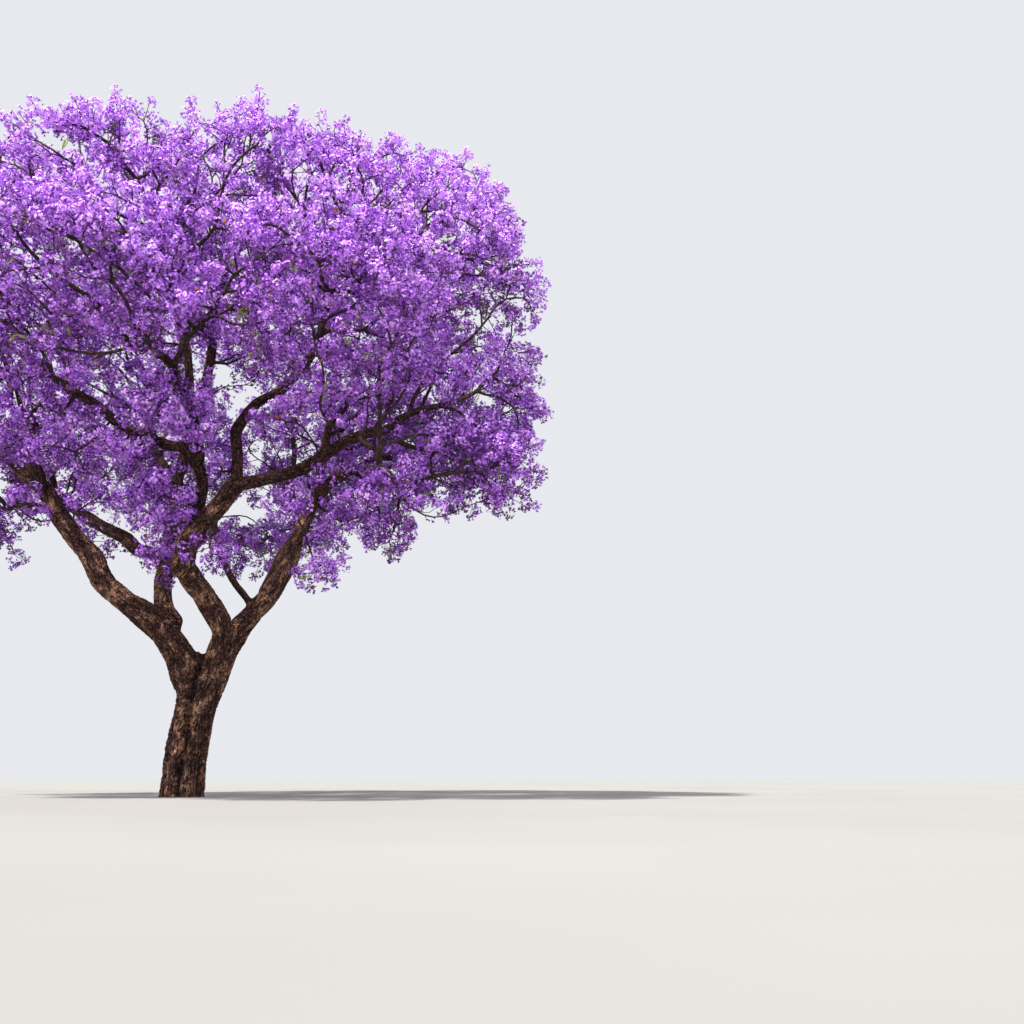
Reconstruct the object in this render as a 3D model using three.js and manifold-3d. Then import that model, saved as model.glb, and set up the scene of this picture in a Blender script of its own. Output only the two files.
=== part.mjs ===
// A broad jacaranda tree in flower, about 12 m tall: a short leaning trunk that forks low down, crooked
// boughs, and a domed crown of separate masses of blossom. Millimetres, +Z up, origin at the middle of the
// flat cut at ground level. The tree is seen from -Y, with +X to the right.
import * as THREE from "three";
import { mergeVertices } from "three/addons/utils/BufferGeometryUtils.js";
import Module from "manifold-3d";

const METRE = 1000;

// Driving dimensions, in metres.
const TRUNK_WIDTH = 0.64;
const TRUNK_DEPTH = 0.72;
const FORK_HEIGHT = 2.35;
const FORK_WIDTH = 1.0;
const WAIST_HEIGHT = 1.3;
const LEAN_START = 0.3;
const LEAN_END = 2.55;
const TRUNK_LEAN = 0.22;
const FOOT_SHIFT = 0.02;
const DOME_HEIGHT = 0.08;
const DOME_START = 2.0;
const ROOT_FLARE = 0.04;
const ROOT_FLARE_HEIGHT = 0.3;
const CROWN_AXIS = [0.2, -0.4];

// The trunk's toes and flutes: how many, how far they are turned round it in radians, and how deep in metres.
const TOES = { count: 5, turn: 0.9, share: 0.4 };
const FLUTES = { count: 7, twist: 1.2, depth: 0.02, lostAtFork: 0.6 };
const OUT_OF_ROUND = { turn: 0.8, depth: 0.025 };
const DOME_CLOSING = 0.85;

// How finely the faceted solids are cut.
const TRUNK_SIDES = 24;
const TRUNK_STEPS = 12;
const TOP_CROWDING = 1.4;
const LIMB_SIDES = 7;
const LIMB_STEP = 0.52;
const LIMB_FEWEST_STEPS = 4;
const MASS_DETAIL = 2;
const SMALL_MASS = 1.15;
const SMALL_MASS_DETAIL = 1;

// The gap between solids that meet, in millimetres, and how much the radius of a cutting copy grows for it.
const MEETING_GAP = 0.3;
const CUTTER_GROWTH = 4 * MEETING_GAP;

// Masses: how lumpy, how much flatter below, how near in reaches a neighbour must lie to be trimmed against,
// and the share of a limb under which a cut-off scrap is dropped.
const LUMPINESS = 0.09;
const LUMPS = { across: 3.1, deep: 2.7, up: 4.3, slant: 2.9, upShare: 0.6 };
const LUMP_CHANGE = { across: 1.7, deep: 2.3, up: 0.8 };
const UNDERSIDE = 0.82;
const NEIGHBOURS = 1.35;
const SMALLEST_SHARE = 0.002;

const BARK = { color: 0x5d4a3f, roughness: 0.95, metalness: 0 };
const BLOSSOM = { color: 0x8a5bd6, roughness: 0.85, metalness: 0 };

// Each limb runs through a few places, in metres, and tapers between its diameters at foot, middle and tip.
const LIMBS = [
  {
    name: "bough_left",
    through: [[0.0, 0, 1.9], [-0.42, -0.05, 2.62], [-1.28, -0.3, 3.33], [-1.89, -0.6, 4.07], [-2.19, -0.7, 4.54]],
    diameters: [0.7, 0.42, 0.37],
  },
  {
    name: "bough_left_outer",
    through: [[-2.18, -0.7, 4.52], [-2.67, -0.8, 5.17], [-3.34, -0.9, 5.68], [-4.2, -0.95, 6.3]],
    diameters: [0.37, 0.3, 0.2],
  },
  {
    name: "bough_left_upper",
    through: [[-2.6, -0.8, 5.08], [-2.75, -1.1, 6.1], [-2.5, -1.4, 7.2], [-2.6, -1.6, 8.6]],
    diameters: [0.22, 0.18, 0.13],
  },
  {
    name: "bough_inner",
    through: [[-0.48, -0.03, 2.76], [-0.66, 0.08, 3.5], [-0.72, 0.3, 4.09], [-0.8, 0.6, 4.9], [-0.9, 0.95, 5.8]],
    diameters: [0.48, 0.27, 0.25],
  },
  {
    name: "bough_leader",
    through: [[-0.89, 0.93, 5.76], [-0.7, 0.9, 6.9], [-0.25, 0.4, 8.2], [-0.1, 0, 9.8]],
    diameters: [0.24, 0.2, 0.14],
  },
  {
    name: "bough_leader_back",
    through: [[-0.88, 0.9, 5.6], [-1.5, 1.2, 6.6], [-1.7, 1.4, 7.6], [-2.0, 1.5, 8.8]],
    diameters: [0.2, 0.16, 0.12],
  },
  {
    name: "bough_inner_left",
    through: [[-0.74, 0.28, 3.98], [-1.15, 0.5, 4.28], [-1.89, 0.9, 4.68], [-2.62, 1.3, 5.09], [-3.9, 2.0, 6.0]],
    diameters: [0.29, 0.26, 0.18],
  },
  {
    name: "bough_right_stem",
    through: [[0.2, -0.05, 1.9], [0.55, -0.15, 2.6], [0.42, -0.42, 3.04], [0.12, -0.8, 3.43], [0.01, -1.1, 3.66]],
    diameters: [0.62, 0.4, 0.39],
  },
  {
    name: "bough_middle",
    through: [[0.01, -1.09, 3.64], [0.16, -1.4, 3.98], [0.4, -1.6, 4.21], [0.64, -1.7, 4.42], [1.09, -1.9, 4.88]],
    diameters: [0.4, 0.38, 0.34],
  },
  {
    name: "bough_middle_up",
    through: [[1.06, -1.9, 4.83], [1.0, -1.9, 5.22], [0.97, -1.83, 5.85], [1.15, -1.8, 6.22], [1.66, -1.8, 6.5]],
    diameters: [0.24, 0.2, 0.18],
  },
  {
    name: "bough_middle_top",
    through: [[1.63, -1.8, 6.49], [2.2, -1.9, 7.1], [2.4, -2.1, 7.9], [2.8, -2.3, 8.9]],
    diameters: [0.17, 0.15, 0.11],
  },
  {
    name: "bough_middle_right",
    through: [[1.09, -1.9, 4.86], [1.49, -1.9, 4.9], [2.25, -1.9, 5.17], [2.85, -1.8, 5.73], [3.71, -1.7, 5.9], [4.4, -1.6, 6.2]],
    diameters: [0.26, 0.2, 0.14],
  },
  {
    name: "bough_arching",
    through: [[0.2, -1.44, 4.02], [0.39, -1.6, 4.51], [0.45, -1.7, 4.99], [0.35, -1.8, 5.33], [0.13, -1.9, 5.49]],
    diameters: [0.26, 0.22, 0.19],
  },
  {
    name: "bough_arching_left",
    through: [[0.15, -1.89, 5.48], [-0.2, -2.0, 5.52], [-0.58, -2.1, 5.69], [-1.3, -2.4, 6.1], [-2.2, -2.9, 6.7]],
    diameters: [0.19, 0.17, 0.13],
  },
  {
    name: "bough_front",
    through: [[0.38, -1.76, 5.22], [0.5, -2.3, 5.7], [0.3, -2.9, 6.3], [-0.1, -3.8, 6.9]],
    diameters: [0.19, 0.16, 0.12],
  },
  {
    name: "bough_front_upper",
    through: [[0.43, -2.5, 5.9], [0.3, -2.6, 6.8], [0.1, -2.7, 7.7], [0.05, -2.9, 8.8]],
    diameters: [0.16, 0.14, 0.1],
  },
  {
    name: "bough_right",
    through: [[0.3, 0.05, 1.9], [0.74, 0.1, 2.84], [1.18, 0.45, 3.57], [1.42, 0.75, 4.19], [1.45, 0.95, 4.65]],
    diameters: [0.56, 0.36, 0.32],
  },
  {
    name: "bough_right_outer",
    through: [[1.45, 0.94, 4.63], [1.53, 1.2, 5.22], [2.27, 1.6, 6.22], [3.1, 1.95, 7.0]],
    diameters: [0.32, 0.26, 0.2],
  },
  {
    name: "bough_right_upper",
    through: [[1.75, 1.33, 5.6], [1.9, 1.0, 6.6], [2.3, 0.6, 7.6], [2.9, 0.4, 9.0]],
    diameters: [0.22, 0.17, 0.12],
  },
  {
    name: "branch_right_spur",
    through: [[0.92, 0.27, 3.2], [0.57, 0, 3.67], [0.42, -0.1, 3.97], [0.22, -0.1, 4.46], [0.2, 0, 5.1]],
    diameters: [0.15, 0.12, 0.07],
  },
  {
    name: "bough_back_left",
    through: [[-0.7, 0.2, 3.85], [-0.75, 1.0, 4.5], [-1.0, 2.1, 5.4], [-1.3, 3.2, 6.5]],
    diameters: [0.27, 0.24, 0.16],
  },
  {
    name: "bough_back_right",
    through: [[1.05, 0.35, 3.4], [1.05, 1.2, 4.2], [1.3, 2.3, 5.3], [1.5, 3.4, 6.6]],
    diameters: [0.27, 0.24, 0.16],
  },
  {
    name: "bough_back_upper",
    through: [[1.25, 2.1, 5.05], [0.9, 2.3, 6.3], [0.8, 2.2, 7.5], [0.7, 2.3, 8.9]],
    diameters: [0.2, 0.16, 0.12],
  },
  {
    name: "branch_low_left",
    through: [[-3.1, 1.58, 5.36], [-3.6, 1.3, 5.4], [-4.2, 0.9, 5.2], [-4.6, 0.6, 4.8]],
    diameters: [0.12, 0.1, 0.07],
  },
  {
    name: "branch_low_front",
    through: [[0.55, -1.7, 4.3], [0.75, -2.0, 4.35], [0.85, -2.2, 4.15], [0.8, -2.3, 3.85]],
    diameters: [0.1, 0.08, 0.06],
  },
  {
    name: "branch_low_right",
    through: [[2.9, -1.8, 5.72], [3.2, -2.0, 5.5], [3.4, -2.2, 5.1], [3.4, -2.25, 4.6]],
    diameters: [0.12, 0.1, 0.07],
  },
];

// Each mass is set by its bearing round the crown (0 is right, 90 is away, in degrees), its reach from the
// crown's axis, its middle's height, its half width and its half height, in metres.
const MASSES = [
  ["mass_top", 200, 0.3, 10.2, 2.0, 1.5],
  ["mass_upper_front", 250, 2.8, 9.2, 2.0, 1.6],
  ["mass_upper_front_right", 303, 3.1, 9.2, 1.9, 1.6],
  ["mass_upper_right", 350, 3.35, 9.85, 1.95, 1.5],
  ["mass_upper_back_right", 38, 3.0, 9.5, 1.9, 1.5],
  ["mass_upper_back", 88, 3.0, 9.5, 2.0, 1.5],
  ["mass_upper_back_left", 140, 3.1, 9.4, 2.0, 1.5],
  ["mass_upper_left", 197, 3.2, 9.3, 2.1, 1.6],
  ["mass_shoulder_right", 338, 4.3, 8.45, 1.95, 1.75],
  ["mass_front", 258, 4.3, 7.0, 2.0, 1.6],
  ["mass_front_right", 306, 4.4, 7.0, 2.0, 1.7],
  ["mass_right", 356, 4.1, 6.7, 1.85, 1.8],
  ["mass_back_right", 36, 4.3, 7.1, 2.1, 1.8],
  ["mass_back", 78, 4.3, 7.2, 2.0, 1.8],
  ["mass_back_left", 120, 4.3, 7.1, 2.1, 1.8],
  ["mass_left", 167, 4.3, 6.9, 2.1, 1.8],
  ["mass_front_left", 213, 4.3, 6.9, 2.1, 1.8],
  ["mass_low_left", 169, 5.0, 4.6, 1.1, 0.8],
  ["mass_low_back", 95, 4.8, 5.2, 1.1, 0.8],
  ["mass_low_right", 345, 4.75, 5.3, 1.2, 0.9],
  ["mass_low_front_right", 330, 3.7, 4.45, 0.9, 0.5],
  ["mass_low_front", 287, 2.0, 3.8, 0.5, 0.35],
  ["mass_under_front", 274, 2.7, 5.45, 0.8, 0.38],
  ["mass_under_front_left", 246, 2.9, 5.3, 0.75, 0.36],
  ["mass_under_left", 230, 3.4, 4.9, 0.65, 0.34],
  ["mass_under_front_right", 301, 3.1, 5.65, 0.7, 0.36],
  ["mass_between_boughs", 262, 1.7, 4.5, 0.62, 0.55],
].map(([name, bearing, reach, height, halfWidth, halfHeight], order) => {
  const turn = THREE.MathUtils.degToRad(bearing);
  const across = [CROWN_AXIS[0] + reach * Math.cos(turn), CROWN_AXIS[1] + reach * Math.sin(turn)];
  return { name, order, halfWidth, halfHeight, middle: new THREE.Vector3(...across, height).multiplyScalar(METRE) };
});

const wasm = await Module();
wasm.setup();

// A closed geometry as a solid, after its shared vertices are merged.
function solidOf(geometry) {
  const bare = geometry.clone();
  bare.deleteAttribute("normal");
  bare.deleteAttribute("uv");
  const merged = mergeVertices(bare, 1e-3);
  return new wasm.Manifold(
    new wasm.Mesh({
      numProp: 3,
      vertProperties: new Float32Array(merged.attributes.position.array),
      triVerts: new Uint32Array(merged.index.array),
    }),
  );
}

function geometryOf(solid) {
  const mesh = solid.getMesh();
  const geometry = new THREE.BufferGeometry();
  geometry.setAttribute("position", new THREE.BufferAttribute(mesh.vertProperties, 3));
  geometry.setIndex(new THREE.BufferAttribute(mesh.triVerts, 1));
  geometry.computeVertexNormals();
  return geometry;
}

const smooth = (low, high, x) => THREE.MathUtils.smoothstep(x, low, high);

// The trunk's middle at a height: upright at first, then leaning to the right up to the fork.
const trunkMiddle = (z) => TRUNK_LEAN * smooth(LEAN_START, LEAN_END, z) - FOOT_SHIFT;

// How far the trunk's skin lies from its middle: root flare in five toes, shallow flutes, and a waist that
// widens into the fork.
function trunkRadius(angle, z) {
  const fork = smooth(WAIST_HEIGHT, FORK_HEIGHT, z);
  const halfWidth = THREE.MathUtils.lerp(TRUNK_WIDTH, FORK_WIDTH, fork) / 2;
  const halfDepth = TRUNK_DEPTH / 2;
  const oval = 1 / Math.hypot(Math.cos(angle) / halfWidth, Math.sin(angle) / halfDepth);
  const toes = 1 - TOES.share + TOES.share * Math.cos(TOES.count * angle + TOES.turn);
  const flare = ROOT_FLARE * toes * Math.exp(-z / ROOT_FLARE_HEIGHT);
  const flutes =
    FLUTES.depth * Math.cos(FLUTES.count * angle + FLUTES.twist * z) +
    OUT_OF_ROUND.depth * Math.cos(2 * angle + OUT_OF_ROUND.turn);
  return oval + flare + flutes * (1 - FLUTES.lostAtFork * fork);
}

// The trunk, from the flat cut at ground level to just above the fork, where it closes in a low dome.
function trunkGeometry(growth) {
  const top = FORK_HEIGHT + DOME_HEIGHT;
  const geometry = new THREE.CylinderGeometry(1, 1, 1, TRUNK_SIDES, TRUNK_STEPS);
  geometry.rotateX(Math.PI / 2);
  const place = geometry.attributes.position;
  for (let i = 0; i < place.count; i++) {
    const [x, y] = [place.getX(i), place.getY(i)];
    const z = top * (1 - (0.5 - place.getZ(i)) ** TOP_CROWDING);
    const angle = Math.atan2(y, x);
    const dome = Math.sqrt(1 - DOME_CLOSING * smooth(DOME_START, top, z));
    const radius = Math.hypot(x, y) * (trunkRadius(angle, z) * dome * METRE + growth);
    place.setXYZ(
      i,
      trunkMiddle(z) * METRE + radius * Math.cos(angle),
      radius * Math.sin(angle),
      z * METRE + (z > FORK_HEIGHT ? growth : 0),
    );
  }
  return geometry;
}

// A tapering limb along a smooth curve, with closed ends: a cylinder bent along the curve.
function limbGeometry(limb, growth) {
  const curve = new THREE.CatmullRomCurve3(limb.through.map((p) => new THREE.Vector3(...p)), false, "centripetal");
  const steps = Math.max(LIMB_FEWEST_STEPS, Math.round(curve.getLength() / LIMB_STEP));
  const frames = curve.computeFrenetFrames(steps);
  const [foot, middle, tip] = limb.diameters;
  const geometry = new THREE.CylinderGeometry(1, 1, 1, LIMB_SIDES, steps);
  const place = geometry.attributes.position;
  for (let i = 0; i < place.count; i++) {
    const along = place.getY(i) + 0.5;
    const step = Math.round(along * steps);
    const [a, b] = [place.getX(i), place.getZ(i)];
    const diameter =
      along < 0.5
        ? THREE.MathUtils.lerp(foot, middle, Math.sqrt(2 * along))
        : THREE.MathUtils.lerp(middle, tip, 2 * along - 1);
    const radius = (diameter / 2) * METRE + growth;
    const point = curve.getPointAt(along).multiplyScalar(METRE);
    if (step === 0) point.addScaledVector(frames.tangents[step], -growth);
    if (step === steps) point.addScaledVector(frames.tangents[step], growth);
    point.addScaledVector(frames.normals[step], -a * radius);
    point.addScaledVector(frames.binormals[step], b * radius);
    place.setXYZ(i, point.x, point.y, point.z);
  }
  return geometry;
}

// A mass of blossom: a lumpy ball, rounder above than below, with lumps that differ from mass to mass.
function massGeometry({ order, middle, halfWidth, halfHeight }, growth) {
  const geometry = new THREE.IcosahedronGeometry(1, halfWidth < SMALL_MASS ? SMALL_MASS_DETAIL : MASS_DETAIL);
  const place = geometry.attributes.position;
  const way = new THREE.Vector3();
  for (let i = 0; i < place.count; i++) {
    way.fromBufferAttribute(place, i).normalize();
    const lumps =
      Math.sin(LUMPS.across * way.x + LUMP_CHANGE.across * order) *
        Math.cos(LUMPS.deep * way.y - LUMP_CHANGE.deep * order) +
      LUMPS.upShare * Math.sin(LUMPS.up * way.z + LUMPS.slant * way.x + LUMP_CHANGE.up * order);
    const swell = 1 + LUMPINESS * lumps;
    const across = halfWidth * METRE * swell + growth;
    const up = halfHeight * METRE * swell * (way.z < 0 ? UNDERSIDE : 1) + growth;
    place.setXYZ(i, middle.x + across * way.x, middle.y + across * way.y, middle.z + up * way.z);
  }
  return geometry;
}

// How far a mass's even oval reaches towards a place, in millimetres.
function reachTowards(mass, way) {
  return METRE / Math.hypot(Math.hypot(way.x, way.y) / mass.halfWidth, way.z / mass.halfHeight);
}

// A mass, trimmed flat where it meets its neighbours: each pair shares one plane between its middles.
function trimmedMass(mass, growth) {
  let solid = solidOf(massGeometry(mass, growth));
  for (const other of MASSES) {
    if (other === mass) continue;
    const way = other.middle.clone().sub(mass.middle);
    const apart = way.length();
    way.normalize();
    const mine = reachTowards(mass, way);
    const theirs = reachTowards(other, way);
    if (apart > NEIGHBOURS * (mine + theirs)) continue;
    const border = mass.middle.clone().addScaledVector(way, (apart * mine) / (mine + theirs));
    way.negate();
    solid = solid.trimByPlane(way.toArray(), border.dot(way) + MEETING_GAP / 2 - growth);
  }
  return solid;
}

// What is left of a limb after the cutters are taken away: the one body that holds its foot.
function cutLimb(solid, cutters, foot) {
  let left = solid;
  for (const cutter of cutters) left = left.subtract(cutter);
  const farFrom = (body) => {
    const { min, max } = body.boundingBox();
    return new THREE.Box3(new THREE.Vector3(...min), new THREE.Vector3(...max)).distanceToPoint(foot);
  };
  const sizeable = left.decompose().filter((body) => body.volume() > SMALLEST_SHARE * left.volume());
  return sizeable.reduce((best, body) => (farFrom(body) < farFrom(best) ? body : best));
}

function meshOf(name, solid, finish) {
  const mesh = new THREE.Mesh(geometryOf(solid), new THREE.MeshStandardMaterial(finish));
  mesh.name = name;
  return mesh;
}

const tree = new THREE.Group();
tree.add(meshOf("trunk", solidOf(trunkGeometry(0)), BARK));
const woodCutters = [solidOf(trunkGeometry(CUTTER_GROWTH))];

for (const mass of MASSES) tree.add(meshOf(mass.name, trimmedMass(mass, 0), BLOSSOM));
const massCutters = MASSES.map((mass) => trimmedMass(mass, CUTTER_GROWTH));

for (const limb of LIMBS) {
  const foot = new THREE.Vector3(...limb.through[1]).multiplyScalar(METRE);
  const whole = solidOf(limbGeometry(limb, 0));
  tree.add(meshOf(limb.name, cutLimb(whole, [...woodCutters, ...massCutters], foot), BARK));
  woodCutters.push(solidOf(limbGeometry(limb, CUTTER_GROWTH)));
}

export default tree;
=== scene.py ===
"""A broad jacaranda tree in full bloom, in metres, with the foot of its trunk at the origin.

The trunk and boughs follow the CAD limbs. From them a seeded rule grows branches and twigs out to the
skin of the CAD masses, in clumps, and every twig ends in a spray of bell-shaped flowers.
"""
import math

import bmesh
import bpy
import numpy as np
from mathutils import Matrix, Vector
from mathutils.bvhtree import BVHTree
from mathutils.kdtree import KDTree


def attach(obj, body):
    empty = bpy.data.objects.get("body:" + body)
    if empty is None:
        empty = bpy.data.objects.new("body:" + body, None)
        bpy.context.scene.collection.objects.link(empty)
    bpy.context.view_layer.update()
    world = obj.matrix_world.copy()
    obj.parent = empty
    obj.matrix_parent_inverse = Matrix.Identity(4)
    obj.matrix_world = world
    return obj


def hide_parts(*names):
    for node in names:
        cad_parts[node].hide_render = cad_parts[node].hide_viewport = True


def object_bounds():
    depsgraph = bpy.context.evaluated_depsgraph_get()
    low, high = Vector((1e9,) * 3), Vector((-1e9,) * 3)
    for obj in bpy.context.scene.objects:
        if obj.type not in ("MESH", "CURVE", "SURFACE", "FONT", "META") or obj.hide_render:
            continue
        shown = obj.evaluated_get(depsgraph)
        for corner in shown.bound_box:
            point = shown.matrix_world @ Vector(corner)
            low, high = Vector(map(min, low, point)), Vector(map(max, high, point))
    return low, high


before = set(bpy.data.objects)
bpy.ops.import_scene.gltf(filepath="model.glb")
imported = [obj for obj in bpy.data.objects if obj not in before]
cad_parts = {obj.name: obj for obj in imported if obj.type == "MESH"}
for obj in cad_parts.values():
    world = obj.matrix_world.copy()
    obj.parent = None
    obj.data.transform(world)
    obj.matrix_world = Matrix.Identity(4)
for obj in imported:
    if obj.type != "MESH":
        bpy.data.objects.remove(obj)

CAD_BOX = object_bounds()
SEED = 11
UP = np.array([0.0, 0.0, 1.0])

# The camera's place, its lens and how far it is tilted up, in degrees.
EYE = np.array([5.47, -17.4, 0.30])
LENS = 35.4
TILT = 14.81

# Gaps in the crown: points that the camera sees through them, and half their width.
SKY_WINDOWS = [(2.6, 0, 8.4), (1.9, 0, 8.4), (4.9, 0, 8.7), (5.5, 0, 9.1)]
SKY_REACH = 0.2

# The stretches of the low boughs that show through the blossom, each as shares of the bough from its foot,
# and how widely the blossom in front of them is parted.
BARE_STRETCHES = {
    "bough_left_outer": (0.05, 0.6),
    "bough_inner_left": (0.2, 0.65),
    "bough_middle": (0.5, 0.8),
    "bough_middle_up": (0.1, 0.95),
    "bough_middle_right": (0.05, 0.35),
    "bough_arching": (0.55, 1.0),
    "bough_arching_left": (0.0, 0.35),
    "bough_right": (0.9, 1.0),
    "bough_right_outer": (0.0, 0.15),
}
BARE_REACH = 0.22

# How many points are taken on each CAD limb and on the masses' skin, and how many slices of the trunk.
LIMB_SAMPLES = 2400
SKIN_SAMPLES = 60000
TRUNK_SLICES = 14

# Branching: the steps along limbs and along new growth, how near growth comes to a spray before a twig
# joins them, and how much it wanders from its way.
LIMB_SPACING = 0.16
GROWTH_STEP = 0.17
GROWTH_ROUNDS = 90
TWIG_REACH = 0.2
WANDER = 0.42

# A branch's radius to this power is the sum of what it feeds; thick branches are part of the bark pieces.
PIPE_POWER = 2.2
TWIG_RADIUS = 0.0068
THICK_BRANCH = 0.052
THIN_BRANCH = 0.012

# Trunk: the grooves that run up it, each by the way it faces in degrees at foot and fork, and its depth.
GROOVES = [
    (-84, -94, 0.11),
    (-140, -152, 0.04),
    (-38, -26, 0.045),
    (16, 8, 0.04),
    (70, 86, 0.09),
    (124, 134, 0.04),
    (176, 184, 0.045),
]
GROOVE_WIDTH = 0.07
FOOT_GROOVES = {"deeper": 0.7, "height": 0.3}
TRUNK_TOP = 2.35
BELOW_GROUND = -0.2

# The fork: below the first height a limb is its CAD skin alone, above the second it is a tube alone. The
# skin's cut end is drawn in to a share of its size, and the band round the fork is eased the most.
LIMB_FOOT_TOP = 2.8
CAD_SKIN_TOP = 3.2
SKIN_END_SIZE = 0.55
FORK_BAND = {"middle": 2.4, "reach": 1.1}
EASE_ROUNDS = {"stout": 36, "fork": 90}

# Bark: each piece's name, lowest and highest point, and how finely its skin is divided.
BARK_PIECES = [
    ("bark_trunk", 0.0, 3.3, 0.0135),
    ("bark_boughs", 3.3, 5.3, 0.019),
    ("bark_high_boughs", 5.3, 12.0, 0.019),
]
SEAM_OVERLAP = 0.01

# Low pads of blossom that hang in front of the boughs, each by its middle, half width and half height,
# and how many more hang from the low boughs on the other sides.
PADS = [
    (0.2, -2.7, 5.7, 0.75, 0.3),
    (0.25, -2.3, 6.3, 0.5, 0.2),
    (-0.55, -1.6, 6.5, 0.55, 0.3),
    (-2.1, -2.2, 5.25, 0.55, 0.25),
    (-2.2, -1.6, 4.6, 0.35, 0.16),
    (-1.35, -1.6, 4.75, 0.3, 0.2),
    (-0.4, -2.2, 5.15, 0.45, 0.3),
    (-0.15, -1.6, 4.2, 0.5, 0.3),
    (-0.4, -0.9, 3.8, 0.26, 0.2),
    (1.1, -2.5, 4.75, 0.32, 0.42),
    (1.75, -2.8, 5.85, 0.5, 0.4),
    (1.95, -2.4, 4.3, 0.26, 0.28),
    (2.45, -1.6, 3.45, 0.34, 0.26),
    (3.5, -1.6, 4.15, 0.3, 0.4),
    (-0.3, -0.2, 8.5, 0.6, 0.3),
]
BACK_PADS = 16
PAD_HEIGHTS = (3.9, 6.6)
PAD_SPACING = 0.8
PAD_SPRAYS = {"least": 7, "per_area": 75}

# Crown: its middle, and the height where the blossom's painted light is neither paler nor deeper; its clumps;
# how many sprays it has, what share of them sits deeper in, and their painted shade; how far all sprays keep
# from the sides of the CAD's box; and how many leaves and pods there are.
CROWN_MIDDLE = np.array([0.2, -0.3, 6.0])
MIDTONE_HEIGHT = 6.5
CLUMP_SPACING = 0.58
CLUMP_RADIUS = 0.38
SPRAYS = 5600
INNER_SHARE = 0.2
INNER_PAINTED_SHADE = -0.9
EDGE = 0.17
LEAVES = 800
PODS = 200

# Blossom: sprays are loose cones of round bunches of flowers.
BUNCHES_PER_SPRAY = 6
FLOWERS_PER_BUNCH = 8
SPRAY_LENGTH = 0.26
SPRAY_WIDTH = 0.13
BUNCH_RADIUS = 0.055
FLOWER_LENGTH = 0.046
FLOWER_WIDTH = 0.031

# Light: each lamp's name, strength, spread in degrees, colour and the way to it; and the sky round it all.
LAMPS = [
    ("key", 9.0, 3, (1.0, 0.96, 0.9), (-0.42, -0.46, 0.9)),
    ("fill", 1.7, 120, (0.95, 0.95, 1.0), (0.35, -0.9, 0.15)),
]
SKY_COLOUR = (0.93, 0.95, 1.0, 1)
SKY_STRENGTH = 0.86
FLOOR_REACH = 90


# ---------------------------------------------------------------- CAD nodes as arrays

def node_triangles(name):
    """The corners of a CAD node's triangles, as an array of (triangle, corner, xyz)."""
    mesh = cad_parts[name].data
    mesh.calc_loop_triangles()
    places = np.empty(3 * len(mesh.vertices), np.float32)
    mesh.vertices.foreach_get("co", places)
    corners = np.empty(3 * len(mesh.loop_triangles), np.int32)
    mesh.loop_triangles.foreach_get("vertices", corners)
    return places.reshape(-1, 3).astype(float)[corners].reshape(-1, 3, 3)


def skin_tree(triangles):
    """Triangles as a tree for ray casts."""
    corners = triangles.reshape(-1, 3)
    return BVHTree.FromPolygons(corners.tolist(), np.arange(len(corners)).reshape(-1, 3).tolist())


def unit(vectors):
    return vectors / np.maximum(np.linalg.norm(vectors, axis=-1, keepdims=True), 1e-9)


def stacked(*kinds):
    """For each kind, its pieces as one array."""
    return [np.concatenate(pieces) for pieces in kinds]


def drift(count, every, rng):
    """Smooth random numbers from -1 to 1, with a fresh one every few steps."""
    knots = rng.uniform(-1, 1, count // every + 3)
    low, share = np.divmod(np.arange(count) / every, 1)
    low = low.astype(int)
    share = share * share * (3 - 2 * share)
    return knots[low] * (1 - share) + knots[low + 1] * share


def scatter_on(triangles, count, rng):
    """Points spread evenly over triangles, with the way each one faces."""
    a, b, c = triangles[:, 0], triangles[:, 1], triangles[:, 2]
    cross = np.cross(b - a, c - a)
    area = np.linalg.norm(cross, axis=1)
    pick = rng.choice(len(area), count, p=area / area.sum())
    root = np.sqrt(rng.random(count))[:, None]
    along = rng.random(count)[:, None]
    points = (1 - root) * a[pick] + root * (1 - along) * b[pick] + root * along * c[pick]
    return points, unit(cross[pick])


# ---------------------------------------------------------------- limbs from the CAD

def along_line(points, line):
    """How far along a line of points each point lies, and how far off it."""
    starts, runs = line[:-1], np.diff(line, axis=0)
    lengths = np.linalg.norm(runs, axis=1)
    before = np.concatenate([[0], np.cumsum(lengths)[:-1]])
    reach = np.einsum("psk,sk->ps", points[:, None] - starts, runs) / lengths**2
    share = np.clip(reach, 0, 1)
    share[:, 0] = np.minimum(reach[:, 0], 1)
    share[:, -1] = np.maximum(reach[:, -1], 0)
    off = np.linalg.norm(points[:, None] - (starts + share[..., None] * runs), axis=2)
    nearest = off.argmin(1)
    rows = np.arange(len(points))
    return before[nearest] + share[rows, nearest] * lengths[nearest], off[rows, nearest]


def line_length(line):
    return np.linalg.norm(np.diff(line, axis=0), axis=1).sum()


def distances(line):
    """How far along a line each of its own points lies."""
    return np.concatenate([[0], np.cumsum(np.linalg.norm(np.diff(line, axis=0), axis=1))])


def resampled(line, spacing):
    """The same line with even steps."""
    before = distances(line)
    stations = np.linspace(0, before[-1], max(3, round(before[-1] / spacing) + 1))
    return np.stack([np.interp(stations, before, line[:, k]) for k in range(3)], 1)


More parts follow.
